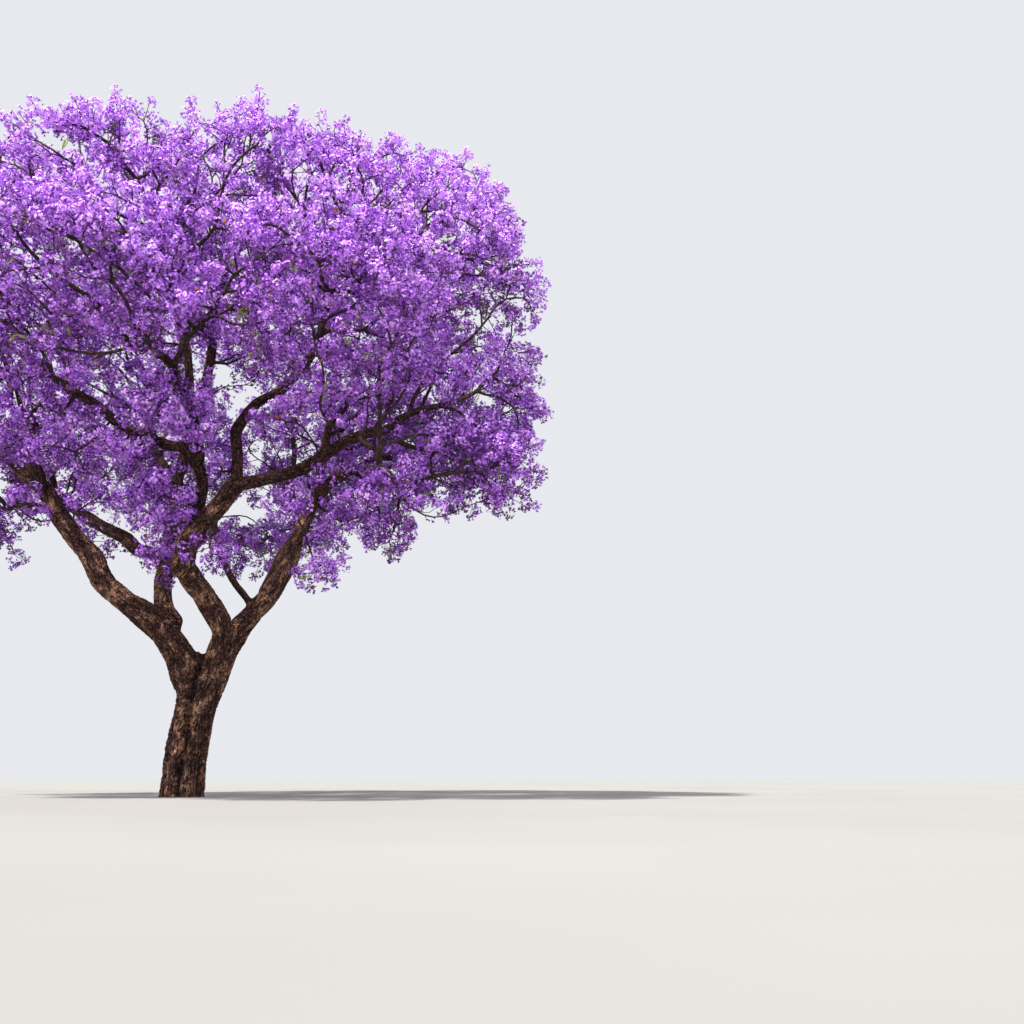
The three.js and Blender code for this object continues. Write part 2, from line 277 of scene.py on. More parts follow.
def limb_line(name, rng):
    """A limb's middle line and radius, measured on its CAD node, with small crooks of its own."""
    points, _ = scatter_on(node_triangles(name), LIMB_SAMPLES, rng)
    middle = points.mean(0)
    axis = np.linalg.svd(points - middle, full_matrices=False)[2][0]
    reach = (points - middle) @ axis
    line = np.array([middle + axis * reach.min(), middle + axis * reach.max()])
    for _ in range(5):
        place, _ = along_line(points, line)
        count = max(3, round(np.ptp(place) / 0.3))
        edges = np.linspace(place.min(), place.max(), count + 1)
        bins = np.clip(np.digitize(place, edges) - 1, 0, count - 1)
        line = np.array([points[bins == k].mean(0) for k in range(count) if (bins == k).any()])
    place, _ = along_line(points, line)
    first = line[0] + unit(line[0] - line[1]) * max(0, -np.percentile(place, 2))
    last = line[-1] + unit(line[-1] - line[-2]) * max(0, np.percentile(place, 98) - line_length(line))
    line = resampled(np.vstack([first, line, last]), LIMB_SPACING)
    place, off = along_line(points, line)
    stations = np.linspace(0, line_length(line), len(line))
    radius = np.array([np.median(off[np.abs(place - s) < 0.22]) for s in stations])
    inside = slice(1, -1) if len(radius) > 4 else slice(None)
    radius = np.polyval(np.polyfit(stations[inside], radius[inside], 2), stations)
    crook = np.stack([drift(len(line), 3, rng) for _ in range(3)], 1)
    crook[0] = crook[-1] = 0
    return line + crook * np.minimum(0.4 * radius, 0.05)[:, None], radius


def trunk_line():
    """The trunk's middle line and the radius of its core, from slices of its CAD node."""
    points = node_triangles("trunk").reshape(-1, 3)
    line, radius = [], []
    for level in np.linspace(0, TRUNK_TOP - 0.25, TRUNK_SLICES):
        ring = points[np.abs(points[:, 2] - level) < 0.14]
        low, high = ring.min(0), ring.max(0)
        line.append([(low[0] + high[0]) / 2, (low[1] + high[1]) / 2, level])
        radius.append(0.42 * (high[1] - low[1]))
    line[0][2] = BELOW_GROUND
    return np.array(line), np.array(radius)


def trunk_grooves(spots):
    """How far in the trunk's skin lies at each point, for the grooves that run up it from root to fork."""
    line, _ = trunk_line()
    middle = np.stack([np.interp(spots[:, 2], line[:, 2], line[:, k]) for k in (0, 1)], 1)
    off = spots[:, :2] - middle
    facing = np.degrees(np.arctan2(off[:, 1], off[:, 0]))
    reach = np.linalg.norm(off, axis=1)
    rise = spots[:, 2] / TRUNK_TOP
    depth = np.full(len(spots), -0.012)
    for foot, fork, deep in GROOVES:
        bearing = foot + (fork - foot) * rise + 5 * np.sin(4.5 * spots[:, 2] + foot)
        across = np.radians((facing - bearing + 180) % 360 - 180) * reach
        depth += deep * np.exp(-(across / GROOVE_WIDTH) ** 2)
    depth *= 1 + FOOT_GROOVES["deeper"] * np.exp(-spots[:, 2] / FOOT_GROOVES["height"])
    below_fork = np.clip((TRUNK_TOP + 0.4 - spots[:, 2]) / 0.5, 0, 1)
    return depth * below_fork * np.clip((0.7 - reach) / 0.15, 0, 1)


class Skeleton:
    """The tree's middle lines: places, the place each one grows from, and limb radii where they are known.

    The trunk's places come first, and bare spots are places on the boughs that no blossom hides."""

    def __init__(self):
        self.places = []
        self.parents = []
        self.radii = []
        self.trunk_points = 0
        self.bare_spots = []

    def add(self, place, parent, radius=0.0):
        self.places.append(np.asarray(place, float))
        self.parents.append(parent)
        self.radii.append(radius)
        return len(self.places) - 1

    def add_line(self, line, radius, parent):
        for place, r in zip(line, radius):
            parent = self.add(place, parent, r)


def limb_skeleton(limbs, rng):
    """The CAD's trunk and limbs, each joined to the nearest limb already in place."""
    skeleton = Skeleton()
    skeleton.add_line(*trunk_line(), -1)
    skeleton.trunk_points = len(skeleton.places)
    lines = {name: limb_line(name, rng) for name in limbs}
    while lines:
        grown = np.array(skeleton.places)
        thick = np.array(skeleton.radii)
        best = None
        for name, (line, radius) in lines.items():
            for end in (0, -1):
                gap = np.linalg.norm(grown - line[end], axis=1) - thick
                if best is None or gap.min() < best[0]:
                    best = (gap.min(), name, end, int(gap.argmin()))
        _, name, end, parent = best
        line, radius = lines.pop(name)
        if end == -1:
            line, radius = line[::-1], radius[::-1]
        if name in BARE_STRETCHES:
            first, last = (round(share * (len(line) - 1)) for share in BARE_STRETCHES[name])
            skeleton.bare_spots += list(line[first:last + 1:2])
        if parent < skeleton.trunk_points:
            parent = int(np.abs(grown[:skeleton.trunk_points, 2] - (line[0][2] - 0.6)).argmin())
            clear = line[:, 2] > LIMB_FOOT_TOP
            line, radius = line[clear], radius[clear]
        skeleton.add_line(line, radius, parent)
    return skeleton


# ---------------------------------------------------------------- where the sprays of blossom sit

def crown_surface(masses, rng):
    """Points on the outer skin of the masses, with the way each one faces; where masses meet is left out."""
    triangles = np.concatenate([node_triangles(name) for name in masses])
    whole = skin_tree(triangles)
    points, normals = scatter_on(triangles, SKIN_SAMPLES, rng)
    keep = [
        whole.ray_cast(Vector(point + 0.003 * normal), Vector(normal), 0.25)[0] is None
        for point, normal in zip(points, normals)
    ]
    return points[keep], normals[keep]


def spaced(points, spacing, order):
    """Picks points, in the given order, that lie at least a spacing apart."""
    cells = {}
    picked = []
    steps = (-1, 0, 1)
    around = [(dx, dy, dz) for dx in steps for dy in steps for dz in steps]
    for i in order:
        x, y, z = (points[i] // spacing).astype(int)
        near = [j for dx, dy, dz in around for j in cells.get((x + dx, y + dy, z + dz), ())]
        if all(np.linalg.norm(points[i] - points[j]) >= spacing for j in near):
            cells.setdefault((x, y, z), []).append(i)
            picked.append(i)
    return np.array(picked)


def pad_sprays(limb_places, rng):
    """The sprays of all low pads: those that are listed, and those round the sides and back."""
    pads = list(PADS)
    low = np.array(limb_places)
    low = low[(low[:, 2] > PAD_HEIGHTS[0]) & (low[:, 2] < PAD_HEIGHTS[1]) & (low[:, 1] > 0)]
    for i in spaced(low, PAD_SPACING, rng.permutation(len(low)))[:BACK_PADS]:
        out = unit(low[i] * (1, 1, 0)) * rng.uniform(0.35, 0.6) + (0, 0, rng.uniform(-0.2, 0.25))
        pads.append((*(low[i] + out), rng.uniform(0.3, 0.5), rng.uniform(0.2, 0.3)))
    places, ways, light = [], [], []
    for x, y, z, wide, tall in pads:
        count = round(PAD_SPRAYS["least"] + PAD_SPRAYS["per_area"] * wide * tall)
        ball = rng.normal(size=(count, 3))
        ball = unit(ball) * rng.uniform(0.55, 1, (count, 1))
        places.append((x, y, z) + ball * (wide, min(wide, 0.4), tall))
        ways.append(unit(ball + 0.5 * UP + rng.normal(0, 0.25, ball.shape)))
        # Painted light: the tops of pads and the higher pads get paler tints, their undersides and the lower
        # pads deeper ones.
        light.append(0.6 * ball[:, 2] + 0.1 * (z - MIDTONE_HEIGHT) + 0.3)
    return stacked(places, ways, light)


def clump_sprays(skin, facing, rng):
    """A quilt of clumps all over the crown.

    Each is a shallow dome that faces outwards and up, so its top is bright and its rim and underside dark;
    its sprays' tints add painted light to that, paler at the top and deeper at the rim and underside."""
    outer = (facing * unit(skin - CROWN_MIDDLE)).sum(1)
    wanted = np.clip(0.15 + 0.9 * outer + 0.25 * facing[:, 2], 0.05, 1)
    order = rng.permutation(np.nonzero(rng.random(len(skin)) < wanted)[0])
    heads = spaced(skin, CLUMP_SPACING, order)
    per_clump = SPRAYS * (1 - INNER_SHARE) / len(heads)
    places, ways, light = [], [], []
    for head in heads:
        way = unit(facing[head] * 0.8 + UP * 0.75 + rng.normal(0, 0.18, 3))
        size = CLUMP_RADIUS * rng.uniform(0.7, 1.3)
        middle = skin[head] - facing[head] * rng.uniform(0.2, 0.5) - way * 0.1
        side = unit(np.cross(way, rng.normal(size=3)))
        other = np.cross(way, side)
        count = max(3, round(per_clump * (size / CLUMP_RADIUS) ** 2 * rng.uniform(0.8, 1.2)))
        tilt = np.arccos(1 - rng.random(count) * 1.12)
        turn = rng.uniform(0, 2 * np.pi, count)
        ball = np.sin(tilt)[:, None] * (np.cos(turn)[:, None] * side + np.sin(turn)[:, None] * other)
        ball = ball + np.cos(tilt)[:, None] * way * 0.62
        places.append(middle + size * ball * rng.uniform(0.8, 1.04, (count, 1)))
        ways.append(unit(ball + 0.35 * facing[head] + 0.3 * UP + rng.normal(0, 0.2, (count, 3))))
        # Painted light: high, upturned clumps and the top of each clump get paler tints; a random drift
        # varies the clumps.
        painted_light_with_drift = 0.2 * facing[head, 2] + 0.14 * (skin[head, 2] - MIDTONE_HEIGHT) + rng.normal(0, 0.1)
        light.append(0.4 * np.cos(tilt) + painted_light_with_drift)
    return stacked(places, ways, light)


def inner_sprays(skin, facing, rng):
    """A few sprays deeper in, mostly where the crown faces down. Painted shade gives them the deepest tint.
    """
    count = round(SPRAYS * INNER_SHARE)
    below = np.clip(0.5 - facing[:, 2], 0.15, 1.3)
    inner = rng.choice(len(skin), count, replace=False, p=below / below.sum())
    places = skin[inner] - facing[inner] * rng.uniform(0.2, 1.2, (count, 1))
    ways = unit(facing[inner] + 0.4 * UP + rng.normal(0, 0.4, (count, 3)))
    return places, ways, np.full(count, INNER_PAINTED_SHADE)


def out_of_the_way(places, bare_spots):
    """Which places close none of the crown's gaps, and hide no bare spot on a bough from the camera."""
    free = np.ones(len(places), bool)
    off = places - EYE
    for spots, width, beyond in ((SKY_WINDOWS, SKY_REACH, math.inf), (bare_spots, BARE_REACH, -0.05)):
        for spot in spots:
            sight = unit(np.array(spot) - EYE)
            reach = off @ sight
            aside = np.linalg.norm(off - reach[:, None] * sight, axis=1) > width
            free &= aside | (reach > np.linalg.norm(np.array(spot) - EYE) + beyond)
    return free


def crown_sprays(masses, limb_places, bare_spots, rng):
    """Where each spray of blossom sits, which way it points and how much painted light its tint gets."""
    skin, facing = crown_surface(masses, rng)
    groups = [clump_sprays(skin, facing, rng), inner_sprays(skin, facing, rng), pad_sprays(limb_places, rng)]
    places, ways, light = stacked(*zip(*groups))
    places = np.clip(places, np.array(CAD_BOX[0]) + EDGE, np.array(CAD_BOX[1]) - EDGE)
    free = out_of_the_way(places, bare_spots)
    return places[free], ways[free], light[free]


def bunches(tips, ways, light, rng):
    """Each spray as a loose cone of small bunches: their places, the way each faces and its painted light."""
    count = BUNCHES_PER_SPRAY
    rise = (np.arange(count) + rng.uniform(0.1, 0.9, (len(tips), count))) / count
    way = np.repeat(ways[:, None], count, 1)
    around = unit(np.cross(way, rng.normal(size=way.shape)))
    out = SPRAY_WIDTH * (1.1 - 0.8 * rise) * rng.uniform(0.6, 1.15, rise.shape)
    off = way * (SPRAY_LENGTH * (rise - 0.15))[..., None] + around * out[..., None]
    facing = unit(around * (1.2 - rise)[..., None] + way * (0.3 + rise)[..., None])
    # Painted light: bunches toward the spray's tip and facing up get paler tints; a random drift varies them
    # from bunch to bunch.
    shade = light[:, None] + 0.5 * (rise - 0.5) + 0.35 * facing[..., 2] + rng.normal(0, 0.6, rise.shape)
    return (tips[:, None] + off).reshape(-1, 3), facing.reshape(-1, 3), shade.ravel()


# ---------------------------------------------------------------- the branching rule

def nearest_places(tips, places):
    """For each tip, the nearest place and how far off it is."""
    near, gap = np.empty(len(tips), int), np.empty(len(tips))
    for block in range(0, len(tips), 500):
        gaps = np.linalg.norm(tips[block:block + 500, None] - places[None], axis=2)
        near[block:block + 500] = gaps.argmin(1)
        gap[block:block + 500] = gaps.min(1)
    return near, gap


def next_places(skeleton, heads, group, targets, rng):
    """Each head's next place: where its targets pull it on average, with some momentum and some wander.

    Where the pulls cancel out, it makes for the first of its targets."""
    place = np.array(skeleton.places)
    pull = np.zeros((len(heads), 3))
    np.add.at(pull, group, unit(targets - place[heads[group]]))
    strength = np.linalg.norm(pull, axis=1) / np.bincount(group)
    parents = np.array(skeleton.parents)[heads]
    momentum = np.where(parents[:, None] >= 0, unit(place[heads] - place[np.maximum(parents, 0)]), UP)
    limb = np.array(skeleton.radii)[heads] > 0
    way = unit(pull) + np.where(limb, 0.1, 0.45)[:, None] * momentum + rng.normal(0, WANDER, pull.shape)
    stuck = strength < 0.25
    if stuck.any():
        first = np.array([targets[group == g][0] for g in np.nonzero(stuck)[0]])
        way[stuck] = first - place[heads[stuck]]
    return place[heads] + GROWTH_STEP * unit(way)


def grow(skeleton, tips, ways, rng):
    """Branches grow step by step towards the sprays that are nearest to them, until each spray is reached.

    Each spray's own stalk carries on from there. Gives the end of every stalk."""
    tip_near, tip_gap = nearest_places(tips, np.array(skeleton.places))
    waiting = np.ones(len(tips), bool)
    joined = np.full(len(tips), -1)
    for _ in range(GROWTH_ROUNDS):
        for t in np.nonzero(waiting & (tip_gap < TWIG_REACH))[0]:
            joined[t] = skeleton.add(tips[t], int(tip_near[t]))
        waiting &= tip_gap >= TWIG_REACH
        if not waiting.any():
            break
        pulled = np.nonzero(waiting)[0]
        heads, group = np.unique(tip_near[pulled], return_inverse=True)
        fresh = next_places(skeleton, heads, group, tips[pulled], rng)
        before = len(skeleton.places)
        for head, spot in zip(heads, fresh):
            skeleton.add(spot, int(head))
        gaps = np.linalg.norm(tips[pulled, None] - fresh[None], axis=2)
        closer = gaps.min(1) < tip_gap[pulled]
        tip_near[pulled[closer]] = before + gaps.argmin(1)[closer]
        tip_gap[pulled[closer]] = gaps.min(1)[closer]
    for t in np.nonzero(waiting)[0]:
        joined[t] = skeleton.add(tips[t], int(tip_near[t]))
    stalk = SPRAY_LENGTH * 0.75
    return [skeleton.add(tip + way * stalk, int(foot)) for tip, way, foot in zip(tips, ways, joined)]


def sprays_fed(parents, ends):
    """How many sprays each place feeds."""
    load = np.zeros(len(parents))
    load[ends] = 1.0
    for i in range(len(parents) - 1, 0, -1):
        load[parents[i]] += load[i]
    return load


def eased_branches(places, parents, fixed, load, used):
    """The places, with the zigzag of all but the limbs eased."""
    for _ in range(2):
        children, number = np.zeros(places.shape), np.zeros(len(places))
        live = np.nonzero(used & (parents >= 0))[0]
        np.add.at(children, parents[live], places[live] * load[live, None])
        np.add.at(number, parents[live], load[live])
        inner = live[(number[live] > 0) & (fixed[live] == 0)]
        ahead = children[inner] / number[inner, None]
        eased = places.copy()
        eased[inner] = 0.5 * places[inner] + 0.25 * places[parents[inner]] + 0.25 * ahead
        places = eased
    return places


def heaviest_children(parents, load, used):
    """For each place, the next one along the branch that feeds the most sprays, or -1 at a tip."""
    heaviest = np.full(len(parents), -1)
    for i in range(1, len(parents)):
        p = parents[i]
        if used[i] and (heaviest[p] < 0 or load[i] > load[heaviest[p]]):
            heaviest[p] = i
    return heaviest


def branch_radii(parents, fixed, load, heaviest):
    """Every radius: a limb's own, and for all else what it feeds asks for, never thicker than its parent."""
    radius = TWIG_RADIUS * np.maximum(load, 1) ** (1 / PIPE_POWER)
    radius[0] = fixed[0]
    for i in range(1, len(parents)):
        p = parents[i]
        if fixed[i] > 0:
            radius[i] = fixed[i]
            continue
        if heaviest[p] == i and radius[p] > 0.02:
            radius[i] = max(radius[i], radius[p] * (0.9 if fixed[p] == 0 else 0.8))
        radius[i] = min(radius[i], radius[p] * 0.95)
    return radius


def finished_tree(skeleton, ends):
    """Drops what feeds no spray, eases the branches' zigzag and works out every radius."""
    parents = np.array(skeleton.parents)
    fixed = np.array(skeleton.radii)
    load = sprays_fed(parents, ends)
    used = (load > 0) | (fixed > 0)
    places = eased_branches(np.array(skeleton.places), parents, fixed, load, used)
    heaviest = heaviest_children(parents, load, used)
    return places, parents, branch_radii(parents, fixed, load, heaviest), used, heaviest


def chains(parents, used, heaviest):
    """Splits the tree into runs that each follow the heaviest branch, from a fork out to a tip."""
    runs = []
    for i in range(len(parents)):
        p = parents[i]
        if not used[i] or (p >= 0 and heaviest[p] == i):
            continue
        run = [p] if p >= 0 else []
        while i >= 0:
            run.append(i)
            i = heaviest[i]
        if len(run) > 1:
            runs.append(run)
    return runs


# ---------------------------------------------------------------- small helpers for meshes and nodes

def linked(name, mesh):
    made = bpy.data.objects.new(name, mesh)
    bpy.context.scene.collection.objects.link(made)
    return made


def mesh_object(name, vertices, edges=(), faces=()):
    mesh = bpy.data.meshes.new(name)
    mesh.from_pydata([tuple(v) for v in vertices], [tuple(e) for e in edges], [tuple(f) for f in faces])
    mesh.update()
    return linked(name, mesh)


def store(made, name, kind, values):
    attribute = made.data.attributes.new(name, kind, "POINT")
    field = "vector" if kind == "FLOAT_VECTOR" else "value"
    attribute.data.foreach_set(field, np.asarray(values, np.float32).ravel())


def remove(made):
    bpy.data.objects.remove(made)


class Nodes:
    """Makes nodes in a tree, sets their fields and plugs their sockets, by name or by _number."""

    def __init__(self, tree):
        self.tree = tree

    def node(self, kind, settings=(), **sockets):
        made = self.tree.nodes.new(kind)
        for key, value in dict(settings).items():
            setattr(made, key, value)
        for key, value in sockets.items():
            self.plug(made, key, value)
        return made

    def plug(self, made, key, value):
        socket = made.inputs[int(key[1:]) if key[0] == "_" and key[1:].isdigit() else key.replace("_", " ")]
        if isinstance(value, bpy.types.NodeSocket):
            self.tree.links.new(value, socket)
        else:
            socket.default_value = value

    def math(self, operation, *values):
        sockets = {f"_{k}": value for k, value in enumerate(values)}
        return self.node("ShaderNodeMath", {"operation": operation}, **sockets).outputs[0]

    def vector(self, operation, a, b=None, scale=None):
        sockets = {"_0": a}
        if b is not None:
            sockets["_1"] = b
        if scale is not None:
            sockets["Scale"] = scale
        return self.node("ShaderNodeVectorMath", {"operation": operation}, **sockets).outputs[0]

    def noise(self, place, scale, detail, roughness=0.5):
        made = self.node("ShaderNodeTexNoise", Vector=place, Scale=scale, Detail=detail, Roughness=roughness)
        return made.outputs[0]

    def step(self, value, low, high, floor=0.0, ceiling=1.0):
        """A smooth step from one level to another as a value goes from low to high."""
        made = self.node("ShaderNodeMapRange", {"interpolation_type": "SMOOTHSTEP"}, Value=value)
        for k, level in enumerate((low, high, floor, ceiling), 1):
            made.inputs[k].default_value = level
        return made.outputs[0]


class Shaping(Nodes):
    """A Geometry Nodes tree that takes a mesh and named inputs, and gives a mesh."""

    KINDS = {
        float: "NodeSocketFloat",
        int: "NodeSocketInt",
        bpy.types.Object: "NodeSocketObject",
        bpy.types.Material: "NodeSocketMaterial",
    }

    def __init__(self, name, inputs):
        super().__init__(bpy.data.node_groups.new(name, "GeometryNodeTree"))
        face = self.tree.interface
        face.new_socket("Geometry", in_out="INPUT", socket_type="NodeSocketGeometry")
        self.inputs = inputs
        for label, value in inputs.items():
            kind = next(k for t, k in self.KINDS.items() if isinstance(value, t))
            face.new_socket(label, in_out="INPUT", socket_type=kind)
        face.new_socket("Geometry", in_out="OUTPUT", socket_type="NodeSocketGeometry")
        self.start = self.tree.nodes.new("NodeGroupInput")
        self.end = self.tree.nodes.new("NodeGroupOutput")

    def given(self, label):
        return self.start.outputs[label]

    def attribute(self, name, kind="FLOAT"):
        return self.node("GeometryNodeInputNamedAttribute", {"data_type": kind}, Name=name).outputs[0]

    def chance(self, low, high, seed, index=None):
        """Random numbers, or random vectors where low and high are vectors."""
        wide = isinstance(low, tuple)
        kind = "FLOAT_VECTOR" if wide else "FLOAT"
        made = self.node("FunctionNodeRandomValue", {"data_type": kind}, Seed=seed)
        for socket, value in zip((0, 1) if wide else (2, 3), (low, high)):
            self.plug(made, f"_{socket}", value)
        if index is not None:
            self.plug(made, "ID", index)
        return made.outputs[0 if wide else 1]

    def aimed(self, way, axis, roll):
        """A rotation that points an axis of a shape the given way, and then rolls it about that axis."""
        aim = self.node("FunctionNodeAlignRotationToVector", {"axis": axis}, Vector=way).outputs[0]
        spin = (0, 0, 1) if axis == "Z" else (0, 1, 0)
        turn = self.node("FunctionNodeAxisAngleToRotation", Axis=spin, Angle=roll).outputs[0]
        local = {"rotation_space": "LOCAL"}
        return self.node("FunctionNodeRotateRotation", local, _0=aim, _1=turn).outputs[0]

    def moved(self, geometry, way, amount):
        """The geometry with each point moved some way along a vector."""
        offset = self.vector("SCALE", way, scale=amount)
        return self.node("GeometryNodeSetPosition", Geometry=geometry, Offset=offset).outputs[0]

    def points(self):
        return self.node("GeometryNodeMeshToPoints", Mesh=self.given("Geometry")).outputs[0]

    def copies(self, points, label, rotation, size):
        """A copy of a given object on each point."""
        shape = self.node("GeometryNodeObjectInfo", Object=self.given(label)).outputs["Geometry"]
        fields = {"Points": points, "Instance": shape, "Rotation": rotation, "Scale": size}
        return self.node("GeometryNodeInstanceOnPoints", **fields).outputs[0]

    def finish(self, geometry, material):
        real = self.node("GeometryNodeRealizeInstances", Geometry=geometry)
        made = self.node("GeometryNodeSetMaterial", Geometry=real.outputs[0], Material=material)
        self.tree.links.new(made.outputs[0], self.end.inputs[0])


def applied(made):
    """The mesh of an object with its modifiers applied; the object itself is removed."""
    evaluated = made.evaluated_get(bpy.context.evaluated_depsgraph_get())
    mesh = bpy.data.meshes.new_from_object(evaluated)
    remove(made)
    return mesh


def grown_mesh(name, base, shaping):
    """The plain mesh that a tree makes of a base object, which is then removed."""
    modifier = base.modifiers.new("grown", "NODES")
    modifier.node_group = shaping.tree
    for item in shaping.tree.interface.items_tree:
        if item.in_out == "INPUT" and item.name in shaping.inputs:
            modifier[item.identifier] = shaping.inputs[item.name]
    mesh = applied(base)
    mesh.name = name
    return linked(name, mesh)


# ---------------------------------------------------------------- wood

def tube(bm, line, radii, sides):
    """A closed tapering tube along a line of points."""
    ways = unit(np.gradient(line, axis=0))
    side = unit(np.cross(ways[0], [0.31, 0.87, 0.4]))
    rings = []
    for place, way, radius in zip(line, ways, radii):
        side = unit(side - way * (side @ way))
        other = np.cross(way, side)
        turns = [2 * math.pi * k / sides for k in range(sides)]
        spokes = [math.cos(t) * side + math.sin(t) * other for t in turns]
        rings.append([bm.verts.new(place + radius * spoke) for spoke in spokes])
    for low, high in zip(rings, rings[1:]):
        for k in range(sides):
            bm.faces.new((low[k], low[(k + 1) % sides], high[(k + 1) % sides], high[k]))
    bm.faces.new(rings[0][::-1])
    bm.faces.new(rings[-1])


def smooth_line(line, radii, rounds):
    """A line with twice the points each round, eased, so its bends are round."""
    for _ in range(rounds):
        middle = (line[1:] + line[:-1]) / 2
        fine = np.empty((2 * len(line) - 1, 3))
        fine[::2], fine[1::2] = line, middle
        fine[2:-2:2] = 0.5 * fine[2:-2:2] + 0.25 * (fine[1:-3:2] + fine[3:-1:2])
        thick = np.empty(2 * len(radii) - 1)
        thick[::2], thick[1::2] = radii, (radii[1:] + radii[:-1]) / 2
        line, radii = fine, thick
    return line, radii


def wood_tubes(runs, places, radius, trunk_points, rng):
    """Middle lines and radii of all above the trunk that is thick enough to carry bark relief."""
    tubes = []
    for run in runs:
        thick = [i for i in run if radius[i] > THICK_BRANCH and i >= trunk_points]
        if len(thick) < 3:
            continue
        line, radii = places[thick], radius[thick].copy()
        radii[0] = min(radii[0], radii[1] * 1.15)
        line = np.vstack([line, line[-1] + (line[-1] - line[-2]) * 0.5])
        radii = np.append(radii, THICK_BRANCH * 0.8)
        line, radii = smooth_line(line, radii, 1)
        tubes.append((line, radii * (1 + 0.08 * drift(len(radii), 4, rng))))
    return tubes


def stretches(flags):
    """The first and last place of each run of true flags."""
    edges = np.flatnonzero(np.diff(np.concatenate([[0], flags.astype(int), [0]])))
    return zip(edges[::2], edges[1::2])


def merge(mesh):
    """Joins a CAD mesh's loose triangles."""
    bm = bmesh.new()
    bm.from_mesh(mesh)
    bmesh.ops.remove_doubles(bm, verts=bm.verts, dist=1e-5)
    bm.to_mesh(mesh)
    bm.free()


def cut(mesh, low, high):
    """Cuts a closed mesh flat at two heights, keeps what is between and closes the cuts."""
    bm = bmesh.new()
    bm.from_mesh(mesh)
    for level, keep_low in ((high, True), (low, False)):
        done = bmesh.ops.bisect_plane(
            bm,
            geom=bm.verts[:] + bm.edges[:] + bm.faces[:],
            plane_co=(0, 0, level),
            plane_no=(0, 0, 1),
            clear_outer=keep_low,
            clear_inner=not keep_low,
        )
        rim = [e for e in done["geom_cut"] if isinstance(e, bmesh.types.BMEdge)]
        bmesh.ops.holes_fill(bm, edges=rim, sides=0)
    bm.to_mesh(mesh)
    bm.free()


def draw_in(mesh, level):
    """Narrows the cut end of a skin, so that it sinks into the tube that carries the limb on."""
    rim = [v for v in mesh.vertices if v.co.z > level - 0.001]
    if rim:
        middle = sum((v.co for v in rim), Vector()) / len(rim)
        for v in rim:
            v.co = middle + SKIN_END_SIZE * (v.co - middle)


def add_fork(bm, wood):
    """The CAD skins of the trunk, carried on below ground, and of the feet of all limbs that start low."""
    for name in wood:
        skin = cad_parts[name].data.copy()
        if min(v.co.z for v in skin.vertices) < CAD_SKIN_TOP - 0.2:
            merge(skin)
            cut(skin, -1, CAD_SKIN_TOP)
            draw_in(skin, CAD_SKIN_TOP)
            bm.from_mesh(skin)
    for v in bm.verts:
        if v.co.z < 0.001:
            v.co.z = BELOW_GROUND


def wood_body(tubes, wood, low, high, voxel):
    """The part of the wood between two heights, as one skin over all its tubes."""
    bm = bmesh.new()
    if low == 0:
        add_fork(bm, wood)
    for line, radii in tubes:
        near = (line[:, 2] > low - 0.5) & (line[:, 2] < high + 0.5)
        for first, last in stretches(near):
            if last - first > 1:
                tube(bm, line[first:last], radii[first:last], 16)
    mesh = bpy.data.meshes.new("wood_tubes")
    bm.to_mesh(mesh)
    bm.free()
    rough = linked("wood_tubes", mesh)
    skin = rough.modifiers.new("one_skin", "REMESH")
    skin.mode = "VOXEL"
    skin.voxel_size = voxel
    mesh = applied(rough)
    cut(mesh, low - 0.1, high + 0.1)
    return linked("wood_body", mesh)


def bark_stations(runs, places, radius):
    """Fine steps along all thick limbs: their places, which way the limb runs there, how far they are from
    the ground along the wood, and how thick the limb is."""
    stations, ways, distance, thickness = [], [], [], []
    travelled = {}
    for run in runs:
        if radius[run[min(1, len(run) - 1)]] < THICK_BRANCH * 0.8:
            continue
        line, radii = smooth_line(places[run], radius[run], 2)
        start = travelled.get(run[0], 0.0)
        steps = distances(line) + start
        for k, i in enumerate(run):
            travelled.setdefault(i, steps[min(4 * k, len(steps) - 1)])
        stations.append(line[2:])
        ways.append(unit(np.gradient(line, axis=0))[2:])
        distance.append(steps[2:])
        thickness.append(radii[2:])
    return stacked(stations, ways, distance, thickness)


def nearest_stations(spots, stations, thickness):
    """For each spot, the station whose limb has its skin nearest."""
    finder = KDTree(len(stations))
    for i, station in enumerate(stations):
        finder.insert(station, i)
    finder.balance()
    nearest = np.empty(len(spots), int)
    for i, spot in enumerate(spots):
        found = finder.find_n(spot, 4)
        nearest[i] = min(found, key=lambda hit: hit[2] - thickness[hit[1]])[1]
    return nearest


def bark_places(body, runs, places, radius):
    """For each point of the bark: its place in a straightened limb (across, across, along), the limb's radius
    and the depth of the trunk's grooves there."""
    spots = np.empty(3 * len(body.data.vertices))
    body.data.vertices.foreach_get("co", spots)
    spots = spots.reshape(-1, 3)
    stations, ways, distance, thickness = bark_stations(runs, places, radius)
    nearest = nearest_stations(spots, stations, thickness)
    off = spots - stations[nearest]
    way = ways[nearest]
    along = (off * way).sum(1)
    across = off - along[:, None] * way
    side = unit(np.cross(way, np.array([0.2, 0.97, 0.1])))
    other = np.cross(way, side)
    flat = np.stack([(across * side).sum(1), (across * other).sum(1), distance[nearest] + along], 1)
    return flat, thickness[nearest], trunk_grooves(spots)


